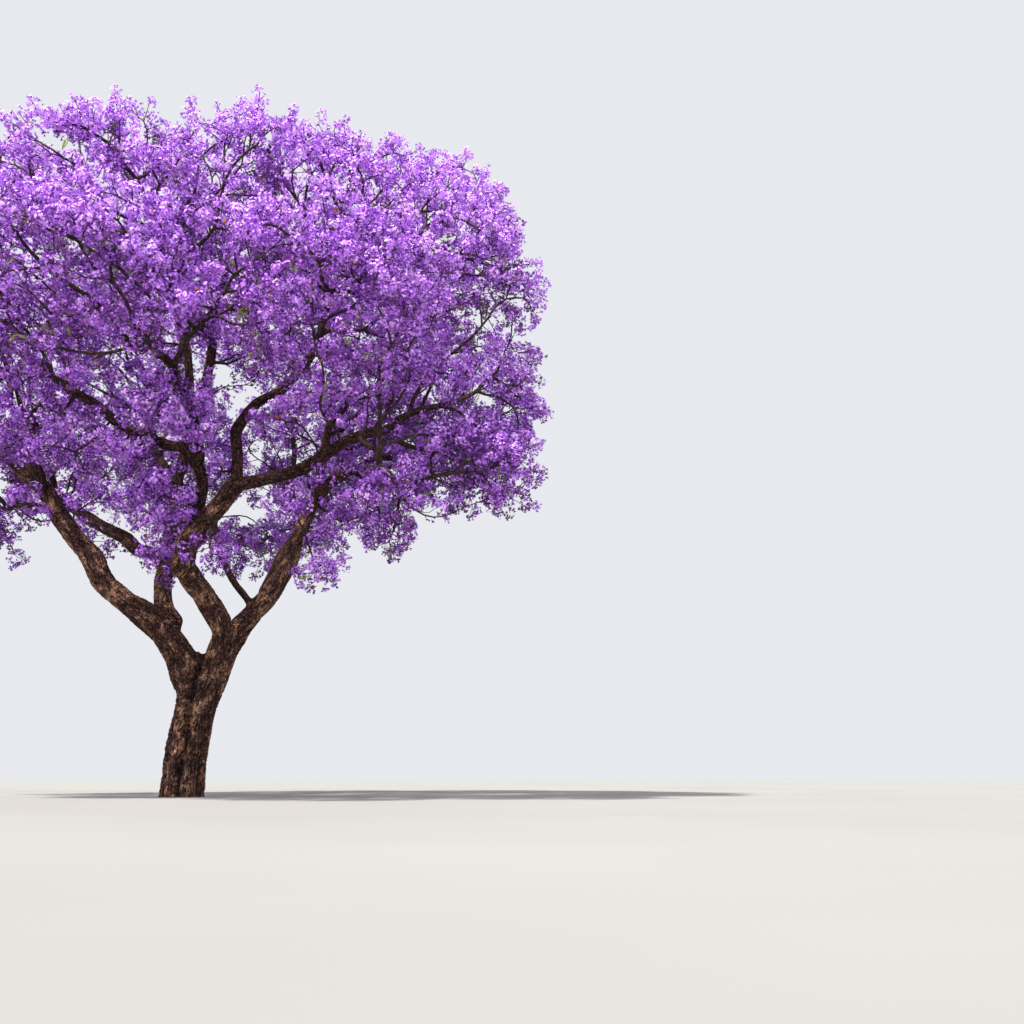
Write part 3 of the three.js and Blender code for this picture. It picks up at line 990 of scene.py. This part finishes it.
def ease(body, thick):
    """Modifiers that round the skin: a little all over, more on thick limbs, and most round the fork."""
    fine = body.modifiers.new("ease", "SMOOTH")
    fine.factor = 0.5
    fine.iterations = 5
    stout = body.vertex_groups.new(name="stout")
    level = np.round(6 * np.clip((thick - 0.07) / 0.14, 0, 1)).astype(int)
    for k in range(1, 7):
        stout.add(np.flatnonzero(level == k).tolist(), k / 6, "REPLACE")
    fork = body.vertex_groups.new(name="fork")
    for v in body.data.vertices:
        nearness = 1 - abs(v.co.z - FORK_BAND["middle"]) / FORK_BAND["reach"]
        if nearness > 0:
            fork.add([v.index], min(1, 2 * nearness), "REPLACE")
    for group, rounds in EASE_ROUNDS.items():
        deep = body.modifiers.new("ease_" + group, "SMOOTH")
        deep.factor = 0.5
        deep.iterations = rounds
        deep.vertex_group = group


def bark_pattern(nodes, place):
    """How high the bark stands, from 0 in a fissure to 1 on a ridge. It serves both shape and colour."""

    def ridges(stretch, scale, width):
        long = nodes.vector("MULTIPLY", place, (1, 1, stretch))
        off = nodes.math("ABSOLUTE", nodes.math("SUBTRACT", nodes.noise(long, scale, 3.0, 0.55), 0.5))
        return nodes.step(off, 0.0, width)

    fine = nodes.math("MULTIPLY_ADD", ridges(0.5, 26.0, 0.07), 0.6, 0.4)
    return nodes.math("MULTIPLY", ridges(0.28, 10.0, 0.06), fine)


def bark_relief(material):
    """Ridges between fissures that run along the limb, deeper on thicker wood, and low swellings."""
    shaping = Shaping("bark_relief", {"Fissure depth": 0.024, "Swellings": 0.05, "Bark": material})
    place = shaping.attribute("bark_place", "FLOAT_VECTOR")
    stout = shaping.step(shaping.attribute("limb_radius"), 0.04, 0.3, 0.2, 1.0)
    ridge = shaping.math("SUBTRACT", bark_pattern(shaping, place), 0.7)
    ridge = shaping.math("MULTIPLY", ridge, shaping.given("Fissure depth"))
    swell = shaping.math("SUBTRACT", shaping.noise(place, 2.6, 3.0), 0.5)
    swell = shaping.math("MULTIPLY", swell, shaping.given("Swellings"))
    height = shaping.math("MULTIPLY", shaping.math("ADD", ridge, swell), stout)
    height = shaping.math("SUBTRACT", height, shaping.attribute("groove"))
    normal = shaping.node("GeometryNodeInputNormal").outputs[0]
    shaping.finish(shaping.moved(shaping.given("Geometry"), normal, height), shaping.given("Bark"))
    return shaping


def bark_pieces(runs, places, radius, trunk_points, wood, material, rng):
    """Trunk, boughs and thick branches, in a few closed pieces stacked by height."""
    tubes = wood_tubes(runs, places, radius, trunk_points, rng)
    for name, low, high, voxel in BARK_PIECES:
        body = wood_body(tubes, wood, low, high, voxel)
        flat, thick, groove = bark_places(body, runs, places, radius)
        store(body, "bark_place", "FLOAT_VECTOR", flat)
        store(body, "limb_radius", "FLOAT", thick)
        store(body, "groove", "FLOAT", groove)
        ease(body, thick)
        piece = grown_mesh(name, body, bark_relief(material))
        cut(piece.data, low - (SEAM_OVERLAP if low else 0), high + SEAM_OVERLAP)
        piece.data.shade_smooth()
        yield piece


def branch_tubes(material, sides):
    """Lines of edges with a radius at each point become tapering tubes."""
    shaping = Shaping("branch_tubes", {"Sides": sides, "Bark": material})
    radius = shaping.attribute("radius")
    curve = shaping.node("GeometryNodeMeshToCurve", Mesh=shaping.given("Geometry")).outputs[0]
    curve = shaping.node("GeometryNodeSetCurveRadius", Curve=curve, Radius=radius).outputs[0]
    sides = shaping.given("Sides")
    ring = shaping.node("GeometryNodeCurvePrimitiveCircle", Resolution=sides, Radius=1.0).outputs[0]
    tubes = shaping.node("GeometryNodeCurveToMesh", Curve=curve, Profile_Curve=ring, Fill_Caps=True)
    if "Scale" in tubes.inputs:
        shaping.plug(tubes, "Scale", radius)
    shaping.finish(tubes.outputs[0], shaping.given("Bark"))
    return shaping


def branch_pieces(runs, places, radius, material):
    """Branches too thin for the bark pieces, as tubes with more sides the thicker they are."""
    kinds = (("branches", THIN_BRANCH, THICK_BRANCH * 1.15, 6), ("twigs", 0.0, THIN_BRANCH, 3))
    for name, low, high, sides in kinds:
        spots, edges, radii = [], [], []
        for run in runs:
            wanted = (radius[run] >= low) & (radius[run] < high)
            wanted[0] = False
            for first, last in stretches(wanted):
                foot = run[first - 1]
                spots.append(places[foot])
                radii.append(min(radius[foot], radius[run[first]] * 1.4, high))
                for i in run[first:last]:
                    edges.append((len(spots) - 1, len(spots)))
                    spots.append(places[i])
                    radii.append(radius[i])
        base = mesh_object(name, spots, edges)
        store(base, "radius", "FLOAT", radii)
        yield grown_mesh(name, base, branch_tubes(material, sides))


# ---------------------------------------------------------------- flowers, leaves and pods

def flower_shape():
    """One bell-shaped flower, its tube's end at the origin: two lobes above, three below, and the tube."""

    def lobe(turn, rise):
        angle = math.radians(turn)
        return (FLOWER_WIDTH * math.cos(angle), FLOWER_WIDTH * math.sin(angle), FLOWER_LENGTH * rise)

    lower_lip = [lobe(90, 0.92), lobe(-128, 1.04), lobe(-52, 1.04)]
    upper_lip = [lobe(166, 1.12), (0, -0.45 * FLOWER_WIDTH, 0.8 * FLOWER_LENGTH), lobe(14, 1.12)]
    wide = 0.42 * FLOWER_WIDTH
    bell = [(0, 0, 0), (wide, 0, FLOWER_LENGTH), (-wide, 0, FLOWER_LENGTH)]
    made = mesh_object("flower_shape", lower_lip + upper_lip + bell, faces=[(0, 1, 2), (3, 4, 5), (6, 7, 8)])
    store(made, "petal_place", "FLOAT", [0.95, 1, 1, 0.6, 0.35, 0.6, 0, 0.3, 0.3])
    return made


def blossom_bunch(flower, material, seed):
    """Each point becomes a round bunch of flowers that face outwards."""
    inputs = {"Flowers": FLOWERS_PER_BUNCH, "Bunch radius": BUNCH_RADIUS, "Seed": seed, "Flower": flower}
    shaping = Shaping("blossom_bunch", {**inputs, "Petal": material})
    way = shaping.attribute("way", "FLOAT_VECTOR")
    many = shaping.node("GeometryNodeDuplicateElements", {"domain": "POINT"}, Geometry=shaping.points())
    shaping.plug(many, "Amount", shaping.given("Flowers"))
    order = shaping.node("GeometryNodeInputIndex").outputs[0]
    seeds = [shaping.math("ADD", shaping.given("Seed"), 7.0 * k) for k in range(4)]
    ball = shaping.chance((-1.0, -1.0, -1.0), (1.0, 1.0, 1.0), seeds[0], order)
    ball = shaping.vector("NORMALIZE", shaping.vector("ADD", ball, shaping.vector("SCALE", way, scale=0.55)))
    out = shaping.math("MULTIPLY", shaping.chance(0.1, 1.0, seeds[1], order), shaping.given("Bunch radius"))
    placed = shaping.moved(many.outputs["Geometry"], ball, out)
    face = shaping.vector("ADD", ball, (0.0, 0.0, -0.2))
    turned = shaping.aimed(face, "Z", shaping.chance(0.0, 6.28, seeds[2], order))
    flowers = shaping.copies(placed, "Flower", turned, shaping.chance(0.75, 1.2, seeds[3], order))
    shaping.finish(flowers, shaping.given("Petal"))
    return shaping


def leaf_shape():
    """One feathery leaf: a stalk with pairs of slim side leaflets that shorten towards the tip."""
    vertices, faces = [], []
    length, pairs = 0.34, 9
    for k in range(pairs):
        t = (k + 1) / (pairs + 0.5)
        reach = 0.085 * math.sin(math.pi * min(1, 0.25 + 0.8 * t)) + 0.012
        for side in (-1, 1):
            base = Vector((0, t * length, -0.06 * t * t))
            tip = base + Vector((side * reach, 0.35 * reach, -0.012))
            wide = Vector((0, 0.011, 0.004))
            start = len(vertices)
            vertices += [base, (base + tip) / 2 + wide, tip, (base + tip) / 2 - wide]
            faces += [(start, start + 1, start + 2), (start, start + 2, start + 3)]
    start = len(vertices)
    vertices += [Vector((-0.002, 0, 0)), Vector((0.002, 0, 0)), Vector((0, length, -0.06))]
    faces.append((start, start + 1, start + 2))
    made = mesh_object("leaf_shape", vertices, faces=faces)
    store(made, "leaf_place", "FLOAT", [v.y / length for v in vertices])
    return made


def pod_shape():
    """One woody seed pod: a flat wavy disc that hangs from a short stalk.

    Blender lists the faces of a new sphere in an order that varies from run to run, so they are sorted."""
    bm = bmesh.new()
    bmesh.ops.create_uvsphere(bm, u_segments=7, v_segments=4, radius=1)
    bm.verts.index_update()
    places = []
    for v in bm.verts:
        wave = 0.12 * math.sin(3 * math.atan2(v.co.y, v.co.x))
        places.append((0.03 * v.co.x, 0.011 * v.co.y + 0.03 * wave * v.co.x, 0.027 * v.co.z - 0.05))
    faces = sorted([v.index for v in face.verts] for face in bm.faces)
    bm.free()
    return mesh_object("pod_shape", places, faces=faces)


def scattered(name, shape, material, smallest, largest, seed):
    """Each point holds one copy of a shape, aimed the way the point faces."""
    inputs = {"Smallest": smallest, "Largest": largest, "Seed": seed, "Shape": shape, "Finish": material}
    shaping = Shaping(name, inputs)
    seeded = shaping.given("Seed")
    size = shaping.chance(shaping.given("Smallest"), shaping.given("Largest"), seeded)
    turned = shaping.aimed(shaping.attribute("way", "FLOAT_VECTOR"), "Y", shaping.chance(-0.9, 0.9, seeded))
    copies = shaping.copies(shaping.points(), "Shape", turned, size)
    shaping.finish(copies, shaping.given("Finish"))
    return shaping


def points_with_way(name, places, ways):
    base = mesh_object(name, places)
    store(base, "way", "FLOAT_VECTOR", ways)
    return base


# ---------------------------------------------------------------- finishes

class Finish(Nodes):
    """A node material on one Principled shader."""

    def __init__(self, name, roughness, specular):
        self.material = bpy.data.materials.new(name)
        self.material.use_nodes = True
        super().__init__(self.material.node_tree)
        self.shader = self.tree.nodes["Principled BSDF"]
        self.shader.inputs["Roughness"].default_value = roughness
        self.shader.inputs["Specular IOR Level"].default_value = specular

    def place(self):
        return self.node("ShaderNodeTexCoord").outputs["Object"]

    def attribute(self, name, output="Fac"):
        return self.node("ShaderNodeAttribute", {"attribute_name": name}).outputs[output]

    def ramp(self, value, *stops):
        """A colour ramp; a stop's colour may be a single grey number."""
        made = self.node("ShaderNodeValToRGB", Fac=value)
        elements = made.color_ramp.elements
        while len(elements) < len(stops):
            elements.new(0.5)
        for element, (position, colour) in zip(elements, stops):
            element.position = position
            element.color = (*(colour if isinstance(colour, tuple) else (colour,) * 3), 1)
        return made.outputs[0]

    def mix(self, kind, factor, a, b):
        made = self.node("ShaderNodeMix", {"data_type": "RGBA", "blend_type": kind}, _0=factor)
        for socket, value in ((6, a), (7, b)):
            self.plug(made, f"_{socket}", (*value, 1) if isinstance(value, tuple) else value)
        return made.outputs[2]

    def bump(self, height, strength, distance):
        made = self.node("ShaderNodeBump", Height=height, Strength=strength, Distance=distance)
        self.plug(self.shader, "Normal", made.outputs[0])

    def colour(self, value):
        self.plug(self.shader, "Base_Color", value)
        return self.material


def srgb(red, green, blue):
    """A colour given as it looks on a screen, 0 to 255, as the shader takes it."""
    parts = (red / 255, green / 255, blue / 255)
    return tuple(c / 12.92 if c <= 0.04045 else ((c + 0.055) / 1.055) ** 2.4 for c in parts)


def petal_finish(name, tint, pale, deep):
    """Petals: deep at the tube, the tint itself on the upper lobes and pale on the lower ones, with a drift
    from flower to flower and a few rusty dry ones."""
    finish = Finish(name, 0.6, 0.25)
    drifting = finish.math("SUBTRACT", finish.noise(finish.place(), 34.0, 1.0), 0.5)
    level = finish.math("MULTIPLY_ADD", drifting, 1.1, finish.attribute("petal_place"))
    tone = finish.ramp(level, (0.05, deep), (0.45, tint), (0.9, pale))
    dry = finish.ramp(finish.noise(finish.place(), 9.0, 2.0), (0.7, 0.0), (0.74, 0.6))
    return finish.colour(finish.mix("MIX", dry, tone, srgb(128, 72, 84)))


def bark_finish():
    """Old bark: near-black fissures, trunk grooves darkened as painted shade, and brown plates with fine
    grain; on the thick wood, pale tan flecks of painted sunlight.
    """
    finish = Finish("bark", 0.92, 0.15)
    place = finish.attribute("bark_place", "Vector")
    grain = finish.noise(finish.vector("MULTIPLY", place, (1, 1, 0.45)), 46.0, 7.0, 0.8)
    ridge = bark_pattern(finish, place)
    plate = finish.ramp(grain, (0.34, srgb(24, 14, 15)), (0.5, srgb(65, 44, 42)), (0.64, srgb(150, 110, 94)))
    blotch = finish.noise(finish.vector("MULTIPLY", place, (1, 1, 0.6)), 5.0, 9.0, 0.78)
    # Painted sunlight: pale tan flecks fall only on the thick trunk and fork wood, not on the thinner boughs
    # in the crown's shade.
    painted_sun_wood = finish.step(finish.attribute("limb_radius"), 0.1, 0.17)
    painted_sun_flecks = finish.math("MULTIPLY", finish.ramp(blotch, (0.5, 0.0), (0.6, 1.0)), painted_sun_wood)
    painted_sun_flecks = finish.math("MULTIPLY", painted_sun_flecks, finish.ramp(grain, (0.42, 0.15), (0.58, 1.0)))
    tan = finish.mix("MIX", painted_sun_flecks, plate, srgb(226, 172, 138))
    # Painted shade: the trunk's deep grooves are made darker, down to about a third.
    dark = finish.ramp(finish.attribute("groove"), (0.02, 1.0), (0.09, 0.35))
    fissured_with_painted_sun = finish.mix("MULTIPLY", 1.0, tan, finish.ramp(ridge, (0.0, 0.14), (0.35, 0.62), (1.0, 1.0)))
    made = finish.colour(finish.mix("MULTIPLY", 1.0, fissured_with_painted_sun, dark))
    finish.bump(finish.math("MULTIPLY_ADD", grain, 1.2, ridge), 0.9, 0.016)
    return made


def twig_finish():
    """Young wood: dark grey-brown with paler breathing pores."""
    finish = Finish("twig_bark", 0.85, 0.2)
    pores = finish.noise(finish.place(), 19.0, 4.0)
    base = finish.ramp(pores, (0.35, srgb(38, 28, 27)), (0.55, srgb(70, 54, 48)), (0.72, srgb(112, 90, 76)))
    slow = finish.ramp(finish.noise(finish.place(), 1.1, 2.0), (0.35, srgb(160, 150, 160)), (0.65, 1.0))
    return finish.colour(finish.mix("MULTIPLY", 0.6, base, slow))


def leaf_finish():
    """Young leaves: yellow-green, greener at the stalk."""
    finish = Finish("leaf", 0.5, 0.35)
    patch = finish.noise(finish.place(), 3.1, 3.0)
    tone = finish.ramp(patch, (0.3, srgb(84, 100, 26)), (0.5, srgb(120, 134, 38)), (0.72, srgb(164, 166, 60)))
    stalk = finish.ramp(finish.attribute("leaf_place"), (0.0, 0.6), (0.5, 0.0))
    return finish.colour(finish.mix("MIX", stalk, tone, srgb(92, 108, 36)))


def pod_finish():
    """Old seed pods: brown with a rusty bloom."""
    finish = Finish("pod", 0.7, 0.3)
    patch = finish.noise(finish.place(), 14.0, 3.0)
    return finish.colour(finish.ramp(patch, (0.35, srgb(86, 46, 26)), (0.65, srgb(172, 92, 48))))


# Each blossom piece's name and its tint, with a paler and a deeper tone of it; in order of painted light,
# from painted shade to painted sun.
BLOSSOM_TINTS = [
    ("blossom_deep", srgb(98, 46, 120), srgb(140, 82, 170), srgb(44, 14, 56)),
    ("blossom_violet", srgb(152, 76, 198), srgb(190, 120, 234), srgb(80, 28, 116)),
    ("blossom_purple", srgb(176, 97, 224), srgb(209, 144, 248), srgb(98, 38, 146)),
    ("blossom_lilac", srgb(195, 119, 239), srgb(223, 166, 252), srgb(116, 54, 166)),
    ("blossom_pale", srgb(213, 145, 248), srgb(236, 190, 255), srgb(136, 74, 188)),
]


# ---------------------------------------------------------------- the tree

def settle(piece, nodes):
    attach(piece, "root")
    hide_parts(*nodes)


def make_blossom(places, ways, shade, masses):
    """All bunches of flowers, dealt out to one piece for each tint by their painted light and shade."""
    flower = flower_shape()
    share = np.argsort(np.argsort(shade)) / len(shade)
    tint_of = (share * len(BLOSSOM_TINTS)).astype(int)
    for k, (name, *tones) in enumerate(BLOSSOM_TINTS):
        base = points_with_way(name, places[tint_of == k], ways[tint_of == k])
        piece = grown_mesh(name, base, blossom_bunch(flower, petal_finish(name, *tones), SEED + k))
        settle(piece, masses)
    remove(flower)


def make_leaves(tips, ways, light, masses, rng):
    """A few young leaves, mostly low and deep in the crown."""
    low = np.argsort(light + rng.normal(0, 0.35, len(light)) + 0.03 * tips[:, 2])[:LEAVES]
    hang = unit(ways[low] * 0.8 + rng.normal(0, 0.7, (LEAVES, 3)) - 0.25 * UP)
    leaf = leaf_shape()
    base = points_with_way("leaves", tips[low] + rng.normal(0, 0.05, (LEAVES, 3)), hang)
    piece = grown_mesh("leaves", base, scattered("leaves", leaf, leaf_finish(), 0.5, 0.95, SEED))
    settle(piece, masses)
    remove(leaf)


def make_pods(tips, masses, rng):
    """Last year's pods, scattered through the crown."""
    some = rng.choice(len(tips), PODS, replace=False)
    pod = pod_shape()
    base = points_with_way("pods", tips[some] - 0.04 * UP, np.tile([0.0, 1.0, 0.0], (PODS, 1)))
    piece = grown_mesh("pods", base, scattered("pods", pod, pod_finish(), 0.8, 1.25, SEED))
    settle(piece, masses)
    remove(pod)


def make_tree():
    rng = np.random.default_rng(SEED)
    masses = sorted(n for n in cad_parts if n.startswith("mass_"))
    wood = sorted(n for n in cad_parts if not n.startswith("mass_"))
    skeleton = limb_skeleton([n for n in wood if n != "trunk"], rng)
    tips, ways, light = crown_sprays(masses, skeleton.places, skeleton.bare_spots, rng)
    ends = grow(skeleton, tips, ways, rng)
    places, parents, radius, used, heaviest = finished_tree(skeleton, ends)
    runs = chains(parents, used, heaviest)
    for piece in bark_pieces(runs, places, radius, skeleton.trunk_points, wood, bark_finish(), rng):
        settle(piece, wood)
    for piece in branch_pieces(runs, places, radius, twig_finish()):
        settle(piece, masses)
    make_blossom(*bunches(tips, ways, light, rng), masses)
    make_leaves(tips, ways, light, masses, rng)
    make_pods(tips, masses, rng)


# ---------------------------------------------------------------- floor, light and camera

def make_floor():
    """Level ground with a faint mottle."""
    corners = [(x * FLOOR_REACH, y * FLOOR_REACH, 0) for x, y in ((-1, -1), (1, -1), (1, 1), (-1, 1))]
    floor = mesh_object("floor", corners, faces=[(0, 1, 2, 3)])
    finish = Finish("floor", 0.9, 0.2)
    cloud = finish.noise(finish.place(), 0.2, 3.0)
    tone = finish.ramp(cloud, (0.3, srgb(132, 131, 129)), (0.7, srgb(138, 137, 135)))
    floor.data.materials.append(finish.colour(tone))


def make_light():
    """A pale even sky, a sun from the front left and a soft fill from the front."""
    world = bpy.data.worlds.new("studio")
    bpy.context.scene.world = world
    world.use_nodes = True
    back = world.node_tree.nodes["Background"]
    back.inputs["Color"].default_value = SKY_COLOUR
    back.inputs["Strength"].default_value = SKY_STRENGTH
    for name, energy, spread, colour, towards in LAMPS:
        sun = bpy.data.lights.new(name, "SUN")
        sun.energy = energy
        sun.angle = math.radians(spread)
        sun.color = colour
        lamp = linked(name, sun)
        lamp.rotation_euler = Vector(towards).to_track_quat("Z", "Y").to_euler()


def make_camera():
    """The photograph's viewing angle: the eye low and in front, and the tree at the left of the frame."""
    lens = bpy.data.cameras.new("camera")
    lens.sensor_width = 36
    lens.lens = LENS
    lens.clip_end = 400
    camera = linked("camera", lens)
    camera.location = EYE
    camera.rotation_euler = (math.radians(90 + TILT), 0, 0)
    bpy.context.scene.camera = camera


make_tree()
make_floor()
make_light()
make_camera()
bpy.context.scene.view_settings.view_transform = "Standard"
